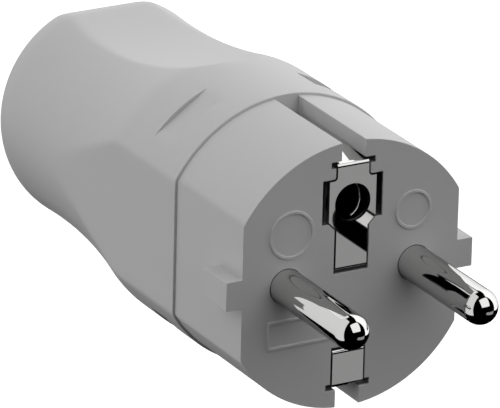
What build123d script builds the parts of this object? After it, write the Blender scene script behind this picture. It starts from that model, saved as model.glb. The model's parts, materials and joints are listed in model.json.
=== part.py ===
from build123d import *
import math
import os

# A straight, rewirable, grounded two-pin mains plug, in millimetres. The origin is the centre of the engagement
# face, between the pins. The pins point along -Y, the cord enters from +Y, and the earth-pin socket is on the +Z side.

# Pins and their pillar terminals
PIN_SPACING = 19.0
PIN_R = 2.4
PIN_LENGTH = 19.0
PIN_CLEARANCE = 0.05
PIN_ROOT_STEP = 0.1
PIN_ROOT_SETBACK = 0.05
PIN_COLLAR_STEP = 1.4
COLLAR_LENGTH = 4.0
COLLAR_CLEARANCE = 0.1
PILLAR_R = 3.0
PILLAR_LENGTH = 15.2
WIRE_BORE_R = 1.6
WIRE_BORE_DEPTH = 11.0
TERMINAL_SCREW_SETBACK = 5.0

# Contact carrier
CARRIER_R = 18.5
CARRIER_DEPTH = 17.8
CARRIER_WALL = 2.4
PIN_TO_FLAT = 6.5
FRONT_WALL = 6.0
RIB_PROUD = 2.3
RIB_HEIGHT = 4.0
RIB_LENGTH = 6.0
SLOT_WIDTH = 3.5
SLOT_DEPTH = 2.82
BOSS_WALL = 1.5
WEB = 1.6
CHANNEL_WALL = 2.0

# Plain raised rings and a plain raised field on the engagement face
BADGE_HEIGHT = 0.2
BADGE_LINE = 0.4
LEFT_RING_X = -8.9
LEFT_RING_Z = 7.0
LEFT_RING_R = 3.3
RIGHT_RING_X = 9.1
RIGHT_RING_Z = 7.5
RIGHT_RING_R = 2.7
FIELD_X = -7.5
FIELD_Z = -6.6
FIELD_WIDTH = 9.4
FIELD_HEIGHT = 4.0

# Earth strip and its windows in the face
STRIP_T = 0.5
STRIP_BEND = 0.1
STRIP_CLEARANCE = 0.25
STRIP_RECESS = 0.6
CLIP_WIDTH = 6.0
CLIP_SETBACK = 0.2
CLIP_SHOULDER = 1.4
RIDGE_RAMP = 3.4
RIDGE_RISE = 0.55
TAB_WIDTH = 4.6
TAB_CORNER = 0.55
CORNER_REACH = 0.01
PLATE_WIDTH = 6.9
PLATE_ABOVE_HOLE = 3.3
PLATE_BELOW_HOLE = 2.3
TAIL_WIDTH = 4.6
UPPER_STEP_Z = 0.74
LOWER_PLATE_HEIGHT = 5.43
STEP_DEPTH = 2.6
STEP_GAP = 0.32
SIDE_GAP = 1.0
SIDE_GAP_DEPTH = 4.0
SIDE_LIP = 0.4
SIDE_UNDERCUT = 1.5

# Earth-pin socket
EARTH_BELOW_CLIP = 5.68
EARTH_HOLE_LEAD = 0.125
SOCKET_BORE_R = 2.5
SOCKET_WALL = 0.8
SOCKET_DEPTH = 15.0
SOCKET_COLLAR_STEP = 0.9
SOCKET_SLIT = 0.6
SOCKET_SLIT_LENGTH = 9.0
SOCKET_SLIT_ANGLE = 45.0

# Rear hood: a barrel, a concave waist all round, and a concave scoop above and below
HOOD_STEP = 0.35
HOOD_LENGTH = 56.15
HOOD_WALL = 2.2
HOOD_END_WALL = 3.0
HOOD_END_ROUND = 7.5
WAIST_DEPTH = 2.98
WAIST_FROM_REAR = 13.45
WAIST_ARC = 115.0
SCOOP_DEPTH = 4.63
SCOOP_FROM_REAR = 16.25
SCOOP_ARC = 75.0
SCOOP_RISE = 1.0
SCOOP_REACH = 0.05
SLOT_STOP_SIDE = 0.5
SLOT_STOP_LENGTH = 2.0
NOTCH_ANGLE = 54.9
NOTCH_SETBACK = 4.8
NOTCH_LENGTH = 4.5
NOTCH_DEPTH = 0.57
INLET_R = 5.25
INLET_NECK_WALL = 2.2
INLET_NECK_LENGTH = 6.0
INLET_ROUND = 0.8

# Latch arms on the carrier, with hooks that snap into pockets in the hood
LATCH_CLEARANCE = 0.15
LATCH_T = 1.6
LATCH_WIDTH = 6.4
LATCH_LENGTH = 8.4
HOOK_SETBACK = 4.9
HOOK_LENGTH = 2.0
HOOK_HEIGHT = 0.65

# Terminal plate with its partitions and the tongue for the cord clamp
PLATE_T = 2.4
PLATE_CLEARANCE = 0.4
PILLAR_CLEARANCE = 0.15
PARTITION_T = 1.4
PARTITION_ABOVE_EARTH = 1.0
TONGUE_T = 2.6
TONGUE_CLEARANCE = 0.4
TONGUE_TO_NECK = 4.3

# Cord clamp on the tongue
CLAMP_SETBACK = 10.2
CLAMP_BOSS_R = 2.4
CLAMP_CORD_GAP = 0.2
CLAMP_SEAT_Z = -1.0
SADDLE_T = 2.3
SADDLE_EDGE = 0.75
SADDLE_LENGTH = 8.0
SADDLE_ROUND = 1.5
CORD_R = 4.5
GRIP_RIB = 1.6
GRIP_PITCH = 4.0
GRIP_HEIGHT = 1.2

# Fasteners
TERMINAL_SCREW_R = 1.75
TERMINAL_HEAD_R = 2.6
TERMINAL_HEAD_HEIGHT = 1.8
PLATE_SCREW_R = 1.2
PLATE_SCREW_HEAD_R = 2.2
PLATE_SCREW_HEAD_HEIGHT = 1.6
PLATE_SCREW_GRIP = 9.0
PLATE_SCREW_X = 5.0
PLATE_SCREW_EDGE = 0.2
PLATE_SCREW_TO_TONGUE = 0.8
CLAMP_SCREW_R = 1.5
CLAMP_HEAD_R = 2.7
CLAMP_HEAD_HEIGHT = 2.0
NUT_SIDE = 5.5
NUT_T = 1.8
SCREW_CLEARANCE = 0.05
HOLE_CLEARANCE = 0.15
DRIVER_SLOT = 0.8
DRIVER_SLOT_DEPTH = 0.9

# Wire leaves
LEAF_T = 0.4
LEAF_WIDTH = 2.2
LEAF_LIP = 2.0
LEAF_CLEARANCE = 0.05

# Sizes that follow: the carrier, its strip and the socket
PIN_X = PIN_SPACING / 2
CARRIER_FLAT = PIN_X + PIN_TO_FLAT
PIN_ROOT_R = PIN_R + PIN_ROOT_STEP
COLLAR_R = PIN_R + PIN_COLLAR_STEP
COLLAR_Y = CARRIER_DEPTH - COLLAR_LENGTH
PILLAR_END = CARRIER_DEPTH + PILLAR_LENGTH
TERMINAL_SCREW_Y = PILLAR_END - TERMINAL_SCREW_SETBACK
CLIP_LEVEL = CARRIER_R - SLOT_DEPTH
EARTH_Z = CLIP_LEVEL - EARTH_BELOW_CLIP
EARTH_HOLE_R = SOCKET_BORE_R + EARTH_HOLE_LEAD
SOCKET_R = SOCKET_BORE_R + SOCKET_WALL
SOCKET_COLLAR_R = SOCKET_R + SOCKET_COLLAR_STEP
PLATE_TOP = EARTH_Z + PLATE_ABOVE_HOLE
PLATE_BOTTOM = EARTH_Z - PLATE_BELOW_HOLE
PLATE_CHAMFER = (PLATE_WIDTH - TAIL_WIDTH) / 2
LOWER_STEP_Z = LOWER_PLATE_HEIGHT - CLIP_LEVEL
GROOVE_TOP = CLIP_LEVEL + STRIP_CLEARANCE
GROOVE_BOTTOM = CLIP_LEVEL - STRIP_T - STRIP_CLEARANCE / 2
PASSAGE_DEPTH = STEP_DEPTH + STRIP_T + STRIP_CLEARANCE
RECESS_DEPTH = STRIP_T + STRIP_RECESS

# Sizes that follow: the hood and the latches
HOOD_R = CARRIER_R + HOOD_STEP
HOOD_FLAT = CARRIER_FLAT + HOOD_STEP
HOOD_REAR = CARRIER_DEPTH + HOOD_LENGTH
HOOD_INNER_R = HOOD_R - HOOD_WALL
HOOD_INNER_REAR = HOOD_REAR - HOOD_END_WALL
NECK_START = HOOD_INNER_REAR - INLET_NECK_LENGTH
WAIST_R = HOOD_R - WAIST_DEPTH
WAIST_Y = HOOD_REAR - WAIST_FROM_REAR
SCOOP_Z = HOOD_R - SCOOP_DEPTH
SCOOP_Y = HOOD_REAR - SCOOP_FROM_REAR
LATCH_R = HOOD_INNER_R - LATCH_CLEARANCE
HOOK_R = LATCH_R + HOOK_HEIGHT
CORNER_ANGLES = [NOTCH_ANGLE, 180 - NOTCH_ANGLE, 180 + NOTCH_ANGLE, -NOTCH_ANGLE]

# Sizes that follow: the terminal plate and the cord clamp
PLATE_R = LATCH_R - LATCH_T - PLATE_CLEARANCE
PLATE_FLAT = HOOD_FLAT - HOOD_WALL - PLATE_CLEARANCE
PLATE_BACK = CARRIER_DEPTH + PLATE_T
PLATE_SCREW_RADIUS = PLATE_R - PLATE_SCREW_HEAD_R - PLATE_SCREW_EDGE
PLATE_SCREW_Z = -math.sqrt(PLATE_SCREW_RADIUS**2 - PLATE_SCREW_X**2)
TONGUE_BOTTOM = PLATE_SCREW_Z + PLATE_SCREW_HEAD_R + PLATE_SCREW_TO_TONGUE
TONGUE_TOP = TONGUE_BOTTOM + TONGUE_T
TONGUE_CORNER_R = WAIST_R - HOOD_WALL - TONGUE_CLEARANCE
TONGUE_WIDTH = 2 * math.sqrt(TONGUE_CORNER_R**2 - TONGUE_BOTTOM**2)
TONGUE_END = NECK_START - TONGUE_TO_NECK
CLAMP_Y = TONGUE_END - CLAMP_SETBACK
CLAMP_X = CORD_R + CLAMP_CORD_GAP + CLAMP_BOSS_R
SADDLE_WIDTH = 2 * (CLAMP_X + CLAMP_HEAD_R + HOLE_CLEARANCE + SADDLE_EDGE)
SADDLE_TOP = CORD_R + SADDLE_T
LEAF_TOP = math.sqrt(WIRE_BORE_R**2 - (LEAF_WIDTH / 2) ** 2) - LEAF_CLEARANCE


def section(y):
    """The plane across the plug at a distance behind the engagement face, seen from the front, +Z up."""
    return Plane.XZ.offset(-y)


def cylinder_hole(radius, x, z, start, end):
    """Cuts a round hole along the plug's length out of the part being built."""
    with BuildSketch(section(start)) as outline:
        with Locations((x, z)):
            Circle(radius)
    extrude(outline.sketch, amount=start - end, mode=Mode.SUBTRACT)


def box_cut(x_range, y_range, z_range):
    """Cuts a box, given by its ranges, out of the part being built."""
    with BuildSketch(section(y_range[0])) as outline:
        with Locations(((x_range[0] + x_range[1]) / 2, (z_range[0] + z_range[1]) / 2)):
            Rectangle(x_range[1] - x_range[0], z_range[1] - z_range[0])
    extrude(outline.sketch, amount=y_range[0] - y_range[1], mode=Mode.SUBTRACT)


def corners_at(found, x, z):
    """The corners of an outline at a height and at a distance to either side of its middle."""
    return found.filter_by(lambda corner: math.hypot(abs(corner.X) - x, corner.Y - z) < CORNER_REACH)


def arc_ahead(lowest, radius, level):
    """How far ahead of its lowest point a concave arc reaches a level."""
    return math.sqrt(radius**2 - (lowest + radius - level) ** 2)


def arc_height(lowest, radius, along):
    """The height of a concave arc at a distance along from its lowest point."""
    return lowest + radius - math.sqrt(radius**2 - along**2)


def hood_form(inset, front, rear, end_round):
    """The hood's form, or its cavity when inset: a turned body, scooped above and below, with flat sides."""
    barrel = HOOD_R - inset
    waist = WAIST_R - inset
    waist_arc = WAIST_ARC + inset
    scoop = SCOOP_Z - inset
    scoop_arc = SCOOP_ARC + inset
    scoop_top = barrel + SCOOP_RISE
    scoop_rear = rear + SCOOP_REACH
    crease_y = WAIST_Y - arc_ahead(waist, waist_arc, barrel)
    scoop_start = SCOOP_Y - arc_ahead(scoop, scoop_arc, scoop_top)
    turned_end = arc_height(waist, waist_arc, rear - WAIST_Y)
    scoop_end = arc_height(scoop, scoop_arc, scoop_rear - SCOOP_Y)
    with BuildPart() as form:
        with BuildSketch(Plane.XY):
            with BuildLine():
                Polyline((0, rear), (0, front), (barrel, front), (barrel, crease_y))
                ThreePointArc((barrel, crease_y), (waist, WAIST_Y), (turned_end, rear))
                Line((turned_end, rear), (0, rear))
            turned = make_face()
            fillet(turned.vertices().group_by(Axis.Y)[-1].sort_by(Axis.X)[-1], radius=end_round)
        revolve(axis=Axis.Y)
        with BuildSketch(Plane.YZ):
            with BuildLine():
                Polyline((0, 0), (0, scoop_top), (scoop_start, scoop_top))
                ThreePointArc((scoop_start, scoop_top), (SCOOP_Y, scoop), (scoop_rear, scoop_end))
                Polyline((scoop_rear, scoop_end), (scoop_rear, 0), (0, 0))
            scooped = make_face()
            fillet(scooped.vertices().group_by(Axis.X)[-1].sort_by(Axis.Y)[-1], radius=end_round)
            mirror(about=Plane.XZ)
        extrude(amount=2 * HOOD_R, both=True, mode=Mode.INTERSECT)
        with BuildSketch(section(rear)):
            Rectangle(2 * (HOOD_FLAT - inset), 4 * HOOD_R)
        extrude(amount=HOOD_REAR, both=True, mode=Mode.INTERSECT)
    return form.part


def terminal_cuts(x, z):
    """Cuts the wire bore and the screw hole of a pillar terminal out of the part being built."""
    cylinder_hole(WIRE_BORE_R, x, z, PILLAR_END - WIRE_BORE_DEPTH, PILLAR_END)
    with BuildSketch(Plane.XY.offset(z)) as outline:
        with Locations((x, TERMINAL_SCREW_Y)):
            Circle(TERMINAL_SCREW_R + SCREW_CLEARANCE)
    extrude(outline.sketch, amount=PILLAR_R, mode=Mode.SUBTRACT)


def make_pin(x):
    """A turned pin: round nose, shank, a root that is a little thicker, collar and pillar terminal."""
    with BuildPart() as pin:
        with BuildSketch(Plane((x, 0, 0))):
            with BuildLine():
                nose_y = PIN_R - PIN_LENGTH
                RadiusArc((0, -PIN_LENGTH), (PIN_R, nose_y), -PIN_R)
                Polyline(
                    (PIN_R, nose_y),
                    (PIN_R, PIN_ROOT_SETBACK),
                    (PIN_ROOT_R, PIN_ROOT_SETBACK),
                    (PIN_ROOT_R, COLLAR_Y),
                    (COLLAR_R, COLLAR_Y),
                    (COLLAR_R, CARRIER_DEPTH),
                    (PILLAR_R, CARRIER_DEPTH),
                    (PILLAR_R, PILLAR_END),
                    (0, PILLAR_END),
                    (0, -PIN_LENGTH),
                )
            make_face()
        revolve(axis=Axis((x, 0, 0), (0, 1, 0)))
        terminal_cuts(x, 0)
    return pin


def make_slotted_screw(plane, shank_r, shank_length, head_r, head_height):
    """A cheese-head screw on a plane: its head stands on the plane, its shank goes down into it."""
    with BuildPart(plane) as screw:
        Cylinder(shank_r, shank_length, align=(Align.CENTER, Align.CENTER, Align.MAX))
        Cylinder(head_r, head_height, align=(Align.CENTER, Align.CENTER, Align.MIN))
        with BuildSketch(plane.offset(head_height)):
            Rectangle(2 * head_r, DRIVER_SLOT)
        extrude(amount=-DRIVER_SLOT_DEPTH, mode=Mode.SUBTRACT)
    return screw


def make_wire_leaf(x, z):
    """The leaf under a terminal screw: a flat strip in the wire bore, with a lip over the pillar's end."""
    with BuildPart() as leaf:
        leaf_start = PILLAR_END - WIRE_BORE_DEPTH + LEAF_CLEARANCE
        with BuildSketch(Plane.YZ.offset(x)):
            with BuildLine():
                Polyline(
                    (leaf_start, z + LEAF_TOP),
                    (PILLAR_END + LEAF_CLEARANCE, z + LEAF_TOP),
                    (PILLAR_END + LEAF_CLEARANCE, z + LEAF_TOP + LEAF_LIP),
                    (PILLAR_END + LEAF_CLEARANCE + LEAF_T, z + LEAF_TOP + LEAF_LIP),
                    (PILLAR_END + LEAF_CLEARANCE + LEAF_T, z + LEAF_TOP - LEAF_T),
                    (leaf_start, z + LEAF_TOP - LEAF_T),
                    close=True,
                )
            make_face()
        extrude(amount=LEAF_WIDTH / 2, both=True)
    return leaf


# Contact carrier: the outline with its side ribs, cored from behind around the bosses, slots and windows
pin_boss_r = COLLAR_R + COLLAR_CLEARANCE + BOSS_WALL
socket_boss_r = SOCKET_COLLAR_R + COLLAR_CLEARANCE + BOSS_WALL
screw_boss_r = PLATE_SCREW_R + SCREW_CLEARANCE + BOSS_WALL
channel_width = CLIP_WIDTH + 2 * STRIP_CLEARANCE + 2 * CHANNEL_WALL
channel_floor = GROOVE_BOTTOM - CHANNEL_WALL
with BuildPart() as contact_carrier:
    with BuildSketch(section(0)):
        Circle(CARRIER_R)
        Rectangle(2 * CARRIER_FLAT, 2 * CARRIER_R, mode=Mode.INTERSECT)
    extrude(amount=-CARRIER_DEPTH)
    with BuildSketch(section(0)):
        Rectangle(2 * (CARRIER_FLAT + RIB_PROUD), RIB_HEIGHT)
    extrude(amount=-RIB_LENGTH)
    with BuildSketch(section(FRONT_WALL)):
        Circle(CARRIER_R - CARRIER_WALL)
        Rectangle(2 * (CARRIER_FLAT - CARRIER_WALL), 2 * CARRIER_R, mode=Mode.INTERSECT)
        with Locations((-PIN_X, 0), (PIN_X, 0)):
            Circle(pin_boss_r, mode=Mode.SUBTRACT)
        with Locations((0, EARTH_Z)):
            Circle(socket_boss_r, mode=Mode.SUBTRACT)
        with Locations((-PLATE_SCREW_X, PLATE_SCREW_Z), (PLATE_SCREW_X, PLATE_SCREW_Z)):
            Circle(screw_boss_r, mode=Mode.SUBTRACT)
        with Locations((0, CARRIER_R), (0, -CARRIER_R)):
            Rectangle(channel_width, 2 * (CARRIER_R - channel_floor), mode=Mode.SUBTRACT)
        Rectangle(2 * CARRIER_R, WEB, mode=Mode.SUBTRACT)
        Rectangle(WEB, 2 * CARRIER_R, mode=Mode.SUBTRACT)
    extrude(amount=FRONT_WALL - CARRIER_DEPTH, mode=Mode.SUBTRACT)
    for side in (-1, 1):
        slot_z = sorted((side * CLIP_LEVEL, side * (CARRIER_R + SLOT_DEPTH)))
        groove_z = sorted((side * GROOVE_BOTTOM, side * GROOVE_TOP))
        groove_x = CLIP_WIDTH / 2 + STRIP_CLEARANCE
        box_cut((-SLOT_WIDTH / 2, SLOT_WIDTH / 2), (0, CARRIER_DEPTH), slot_z)
        box_cut((-groove_x, groove_x), (0, CARRIER_DEPTH), groove_z)
    tab_x = TAB_WIDTH / 2 + STRIP_CLEARANCE
    gap_x = PLATE_WIDTH / 2 + SIDE_GAP
    tail_x = TAIL_WIDTH / 2 + STRIP_CLEARANCE
    window_bottom = UPPER_STEP_Z - STEP_GAP
    lower_window_top = LOWER_STEP_Z + STEP_GAP
    upper_passage = (window_bottom, UPPER_STEP_Z + STRIP_T + STRIP_BEND)
    lower_passage = (LOWER_STEP_Z - STRIP_T - STRIP_BEND, lower_window_top)
    with BuildSketch(section(0)):
        with BuildLine():
            Polyline(
                (0, GROOVE_TOP),
                (tab_x, GROOVE_TOP),
                (tab_x, PLATE_TOP + STRIP_CLEARANCE),
                (gap_x, PLATE_TOP + STRIP_CLEARANCE),
                (gap_x, PLATE_BOTTOM - STRIP_CLEARANCE),
                (PLATE_WIDTH / 2, PLATE_BOTTOM - STRIP_CLEARANCE),
                (tail_x, PLATE_BOTTOM - PLATE_CHAMFER),
                (tail_x, window_bottom),
                (0, window_bottom),
            )
            mirror(about=Plane.YZ)
        make_face()
        fillet(corners_at(vertices(), tab_x, PLATE_TOP + STRIP_CLEARANCE), radius=TAB_CORNER - STRIP_CLEARANCE)
    extrude(amount=-RECESS_DEPTH, mode=Mode.SUBTRACT)
    box_cut((-tail_x, tail_x), (0, RECESS_DEPTH), (-GROOVE_TOP, lower_window_top))
    for side, relief_x in ((1, tab_x), (-1, tail_x)):
        relief_z = sorted((side * (GROOVE_BOTTOM - STRIP_BEND), side * GROOVE_TOP))
        box_cut((-relief_x, relief_x), (0, STRIP_T + STRIP_BEND), relief_z)
    undercut_x = gap_x + SIDE_UNDERCUT
    for pocket in ((-undercut_x, -PLATE_WIDTH / 2), (PLATE_WIDTH / 2, undercut_x)):
        pocket_z = (PLATE_BOTTOM - STRIP_CLEARANCE, PLATE_TOP + STRIP_CLEARANCE)
        box_cut(pocket, (SIDE_LIP, SIDE_GAP_DEPTH), pocket_z)
    box_cut((-tail_x, tail_x), (0, PASSAGE_DEPTH), upper_passage)
    box_cut((-tail_x, tail_x), (0, PASSAGE_DEPTH), lower_passage)
    box_cut((-tail_x, tail_x), (STEP_DEPTH - STRIP_CLEARANCE, PASSAGE_DEPTH), (lower_passage[0], upper_passage[1]))
    for x in (-PIN_X, PIN_X):
        cylinder_hole(PIN_ROOT_R + PIN_CLEARANCE, x, 0, 0, COLLAR_Y)
        cylinder_hole(COLLAR_R + COLLAR_CLEARANCE, x, 0, COLLAR_Y, CARRIER_DEPTH)
    cylinder_hole(SOCKET_R + PIN_CLEARANCE, 0, EARTH_Z, STRIP_T, COLLAR_Y)
    cylinder_hole(SOCKET_COLLAR_R + COLLAR_CLEARANCE, 0, EARTH_Z, COLLAR_Y, CARRIER_DEPTH)
    for x in (-PLATE_SCREW_X, PLATE_SCREW_X):
        core_start = CARRIER_DEPTH - PLATE_SCREW_GRIP
        cylinder_hole(PLATE_SCREW_R + SCREW_CLEARANCE, x, PLATE_SCREW_Z, core_start, CARRIER_DEPTH)
    for start, end, outer_r in (
        (FRONT_WALL, CARRIER_DEPTH + LATCH_LENGTH, LATCH_R),
        (CARRIER_DEPTH + HOOK_SETBACK, CARRIER_DEPTH + HOOK_SETBACK + HOOK_LENGTH, HOOK_R),
    ):
        with BuildSketch(section(start)):
            for angle in CORNER_ANGLES:
                with PolarLocations(outer_r / 2, 1, start_angle=angle):
                    Rectangle(outer_r, LATCH_WIDTH)
            Circle(outer_r, mode=Mode.INTERSECT)
            Circle(LATCH_R - LATCH_T, mode=Mode.SUBTRACT)
        extrude(amount=start - end)
    with BuildSketch(section(0)):
        with Locations((LEFT_RING_X, LEFT_RING_Z)):
            Circle(LEFT_RING_R)
            Circle(LEFT_RING_R - BADGE_LINE, mode=Mode.SUBTRACT)
        with Locations((RIGHT_RING_X, RIGHT_RING_Z)):
            Circle(RIGHT_RING_R)
            Circle(RIGHT_RING_R - BADGE_LINE, mode=Mode.SUBTRACT)
        with Locations((FIELD_X, FIELD_Z)):
            Rectangle(FIELD_WIDTH, FIELD_HEIGHT)
            Rectangle(FIELD_WIDTH - 2 * BADGE_LINE, FIELD_HEIGHT - 2 * BADGE_LINE, mode=Mode.SUBTRACT)
    extrude(amount=BADGE_HEIGHT)

# Rear hood: a shell with grip notches outside, latch pockets and slot stops inside, and a round cord inlet
stop_top = HOOD_R - HOOD_WALL / 2
stop_middle = (CLIP_LEVEL + stop_top) / 2
hood_outside = hood_form(0, CARRIER_DEPTH, HOOD_REAR, HOOD_END_ROUND)
hood_inside = hood_form(HOOD_WALL, CARRIER_DEPTH, HOOD_INNER_REAR, HOOD_END_ROUND - HOOD_WALL)
with BuildPart() as rear_hood:
    add(hood_outside)
    add(hood_inside, mode=Mode.SUBTRACT)
    with BuildSketch(section(NECK_START)):
        Circle(INLET_R + INLET_NECK_WALL)
    extrude(amount=NECK_START - HOOD_INNER_REAR)
    with BuildSketch(section(CARRIER_DEPTH)):
        with Locations((0, stop_middle), (0, -stop_middle)):
            Rectangle(SLOT_WIDTH + 2 * SLOT_STOP_SIDE, stop_top - CLIP_LEVEL)
    extrude(amount=-SLOT_STOP_LENGTH)
    cylinder_hole(INLET_R, 0, 0, NECK_START, HOOD_REAR)
    mouth = rear_hood.edges().filter_by(GeomType.CIRCLE).group_by(Axis.Y)[-1]
    fillet(mouth.sort_by(SortBy.RADIUS)[0], radius=INLET_ROUND)
    notch_start = CARRIER_DEPTH + NOTCH_SETBACK
    with BuildSketch(section(notch_start)):
        for angle in CORNER_ANGLES:
            with PolarLocations(HOOD_R - NOTCH_DEPTH + HOOD_R / 2, 1, start_angle=angle):
                Rectangle(HOOD_R, HOOD_R)
    extrude(amount=-NOTCH_LENGTH, mode=Mode.SUBTRACT)
    pocket_r = HOOK_R + LATCH_CLEARANCE
    pocket_start = CARRIER_DEPTH + HOOK_SETBACK - LATCH_CLEARANCE
    with BuildSketch(section(pocket_start)):
        for angle in CORNER_ANGLES:
            with PolarLocations(pocket_r / 2, 1, start_angle=angle):
                Rectangle(pocket_r, LATCH_WIDTH + 2 * LATCH_CLEARANCE)
        Circle(pocket_r, mode=Mode.INTERSECT)
    extrude(amount=-(HOOK_LENGTH + 2 * LATCH_CLEARANCE), mode=Mode.SUBTRACT)

# Pins
line_pin = make_pin(-PIN_X)
neutral_pin = make_pin(PIN_X)

# Earth strip: a sheet along its bends, trimmed to the widths of its clips, plate and tail, with a ridge on each clip
strip_mid = STRIP_T / 2
clip_end = CARRIER_DEPTH - CLIP_SETBACK
with BuildPart() as strip_widths:
    with BuildSketch(section(0)):
        with BuildLine():
            Polyline(
                (0, CLIP_LEVEL),
                (TAB_WIDTH / 2, CLIP_LEVEL),
                (TAB_WIDTH / 2, PLATE_TOP),
                (PLATE_WIDTH / 2, PLATE_TOP),
                (PLATE_WIDTH / 2, PLATE_BOTTOM),
                (TAIL_WIDTH / 2, PLATE_BOTTOM - PLATE_CHAMFER),
                (TAIL_WIDTH / 2, -CLIP_LEVEL),
                (0, -CLIP_LEVEL),
            )
            mirror(about=Plane.YZ)
        make_face()
        fillet(corners_at(vertices(), TAB_WIDTH / 2, PLATE_TOP), radius=TAB_CORNER)
    extrude(amount=-PASSAGE_DEPTH)
    with BuildSketch(section(CLIP_SHOULDER)):
        with Locations((0, CLIP_LEVEL - strip_mid), (0, strip_mid - CLIP_LEVEL)):
            Rectangle(CLIP_WIDTH, STRIP_T)
    extrude(amount=CLIP_SHOULDER - clip_end)
with BuildPart() as earth_strip:
    with BuildSketch(Plane.YZ):
        with BuildLine():
            FilletPolyline(
                (clip_end, CLIP_LEVEL - strip_mid),
                (strip_mid, CLIP_LEVEL - strip_mid),
                (strip_mid, UPPER_STEP_Z + strip_mid),
                (STEP_DEPTH + strip_mid, UPPER_STEP_Z + strip_mid),
                (STEP_DEPTH + strip_mid, LOWER_STEP_Z - strip_mid),
                (strip_mid, LOWER_STEP_Z - strip_mid),
                (strip_mid, strip_mid - CLIP_LEVEL),
                (clip_end, strip_mid - CLIP_LEVEL),
                radius=STRIP_BEND + strip_mid,
            )
        trace(line_width=STRIP_T)
    extrude(amount=PLATE_WIDTH / 2, both=True)
    add(strip_widths.part, mode=Mode.INTERSECT)
    with BuildSketch(Plane.YZ):
        with BuildLine():
            Polyline(
                (STRIP_T + STRIP_BEND, CLIP_LEVEL - strip_mid),
                (STRIP_T + STRIP_BEND, CLIP_LEVEL),
                (STRIP_T + STRIP_BEND + RIDGE_RAMP, CLIP_LEVEL + RIDGE_RISE),
                (clip_end, CLIP_LEVEL + RIDGE_RISE),
                (clip_end, CLIP_LEVEL - strip_mid),
                close=True,
            )
        make_face()
        mirror(about=Plane.XZ)
    extrude(amount=SLOT_WIDTH / 2 - STRIP_CLEARANCE, both=True)
    cylinder_hole(EARTH_HOLE_R, 0, EARTH_Z, 0, STRIP_T)

# Earth socket: a slit tube behind the strip's hole, a collar and a pillar terminal
with BuildPart() as earth_socket:
    with BuildSketch(Plane((0, 0, EARTH_Z))):
        with BuildLine():
            Polyline(
                (SOCKET_BORE_R, STRIP_T),
                (SOCKET_R, STRIP_T),
                (SOCKET_R, COLLAR_Y),
                (SOCKET_COLLAR_R, COLLAR_Y),
                (SOCKET_COLLAR_R, CARRIER_DEPTH),
                (PILLAR_R, CARRIER_DEPTH),
                (PILLAR_R, PILLAR_END),
                (0, PILLAR_END),
                (0, STRIP_T + SOCKET_DEPTH),
                (SOCKET_BORE_R, STRIP_T + SOCKET_DEPTH),
                close=True,
            )
        make_face()
    revolve(axis=Axis((0, 0, EARTH_Z), (0, 1, 0)))
    with BuildSketch(section(STRIP_T)):
        with Locations((0, EARTH_Z)):
            Rectangle(2 * SOCKET_R, SOCKET_SLIT, rotation=SOCKET_SLIT_ANGLE)
    extrude(amount=-SOCKET_SLIT_LENGTH, mode=Mode.SUBTRACT)
    terminal_cuts(0, EARTH_Z)

# Terminal plate: base, partitions between the terminals, and the tongue that carries the cord clamp
partition_height = EARTH_Z + PARTITION_ABOVE_EARTH - TONGUE_TOP
with BuildPart() as terminal_plate:
    with BuildSketch(section(CARRIER_DEPTH)):
        Circle(PLATE_R)
        Rectangle(2 * PLATE_FLAT, 2 * PLATE_R, mode=Mode.INTERSECT)
    extrude(amount=-PLATE_T)
    with BuildSketch(section(PLATE_BACK)):
        with Locations((-PIN_X / 2, TONGUE_TOP), (PIN_X / 2, TONGUE_TOP)):
            Rectangle(PARTITION_T, partition_height, align=(Align.CENTER, Align.MIN))
    extrude(amount=PLATE_BACK - PILLAR_END)
    with BuildSketch(section(PLATE_BACK)):
        with Locations((0, TONGUE_TOP)):
            Rectangle(TONGUE_WIDTH, TONGUE_T, align=(Align.CENTER, Align.MAX))
    extrude(amount=PLATE_BACK - TONGUE_END)
    with BuildSketch(Plane.XY.offset(TONGUE_TOP)):
        with Locations((-CLAMP_X, CLAMP_Y), (CLAMP_X, CLAMP_Y)):
            Circle(CLAMP_BOSS_R)
    extrude(amount=CLAMP_SEAT_Z - TONGUE_TOP)
    with BuildSketch(Plane.XY.offset(TONGUE_TOP)):
        with Locations((0, CLAMP_Y - GRIP_PITCH / 2), (0, CLAMP_Y + GRIP_PITCH / 2)):
            Rectangle(2 * CLAMP_X, GRIP_RIB)
    extrude(amount=GRIP_HEIGHT)
    with BuildSketch(Plane.XY.offset(TONGUE_BOTTOM)):
        with Locations((-CLAMP_X, CLAMP_Y), (CLAMP_X, CLAMP_Y)):
            Rectangle(NUT_SIDE + 2 * HOLE_CLEARANCE, NUT_SIDE + 2 * HOLE_CLEARANCE)
    extrude(amount=NUT_T, mode=Mode.SUBTRACT)
    with BuildSketch(Plane.XY.offset(CLAMP_SEAT_Z)):
        with Locations((-CLAMP_X, CLAMP_Y), (CLAMP_X, CLAMP_Y)):
            Circle(CLAMP_SCREW_R + HOLE_CLEARANCE)
    extrude(amount=TONGUE_BOTTOM - CLAMP_SEAT_Z, mode=Mode.SUBTRACT)
    for x, z in ((-PIN_X, 0), (PIN_X, 0), (0, EARTH_Z)):
        cylinder_hole(PILLAR_R + PILLAR_CLEARANCE, x, z, CARRIER_DEPTH, PLATE_BACK)
    for x in (-PLATE_SCREW_X, PLATE_SCREW_X):
        cylinder_hole(PLATE_SCREW_R + HOLE_CLEARANCE, x, PLATE_SCREW_Z, CARRIER_DEPTH, PLATE_BACK)

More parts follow.
